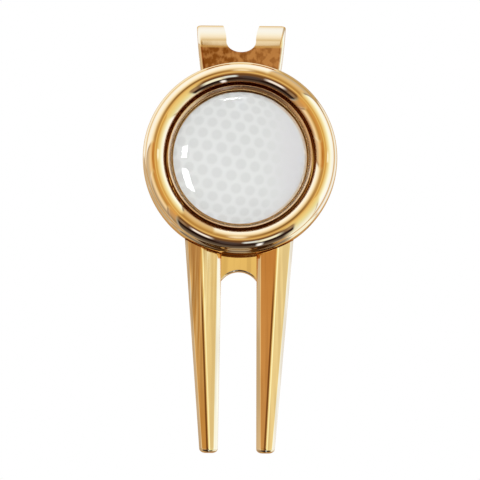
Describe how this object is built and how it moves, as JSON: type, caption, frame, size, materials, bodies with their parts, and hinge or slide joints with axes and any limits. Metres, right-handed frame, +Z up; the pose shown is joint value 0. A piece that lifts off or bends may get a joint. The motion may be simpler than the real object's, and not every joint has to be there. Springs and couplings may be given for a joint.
{
  "type": "divot repair tool",
  "caption": "Two-pronged fork with a round bezel holding a magnetic ball marker at the front, and a notched spring clip folded over behind the head.",
  "frame": {"origin": "bottom centre of the whole tool: level with the prong tips, on the left-right mirror plane, midway through the depth; the head's axis crosses the head's flat back at (0, -0.00065, 0.05465)", "axes": "+Z up along the tool, from the prong tips to the clip's bend; -Y is the front, where the ball marker faces; +X is to the right seen from the front"},
  "size_m": [0.036, 0.0138, 0.0809],
  "materials": {
    "gold_plate": "polished gold plating on zinc alloy",
    "gold_strip": "polished gold plating on spring steel",
    "satin_gold": "copper-toned gold plating on pressed steel",
    "magnet_plate": "nickel-plated disc magnet",
    "printed_sheet": "white printed sheet with a pale grey dimple pattern",
    "clear_resin": "clear domed resin"
  },
  "bodies": {
    "fork": {"fork_body": "gold_plate", "bezel_ring": "gold_plate", "seat_cup": "satin_gold", "magnet": "magnet_plate", "clip_plate": "gold_strip", "clip_rivet_left": "satin_gold", "clip_rivet_right": "satin_gold"},
    "marker": {"marker_disc": "gold_plate", "marker_print": "printed_sheet", "marker_dome": "clear_resin"},
    "clip_arm": {"clip_arm": "gold_strip"}
  },
  "joints": [
    {"name": "marker_lift", "type": "slide", "parent": "fork", "child": "marker", "axis": [0, -1, 0], "range_m": [0, 0.012], "stiffness_N_per_m": 120},
    {"name": "clip_flex", "type": "hinge", "parent": "fork", "child": "clip_arm", "pos_m": [0, 0.00606, 0.07355], "axis": [1, 0, 0], "range_deg": [0, 10], "stiffness_Nm_per_rad": 0.6}
  ]
}
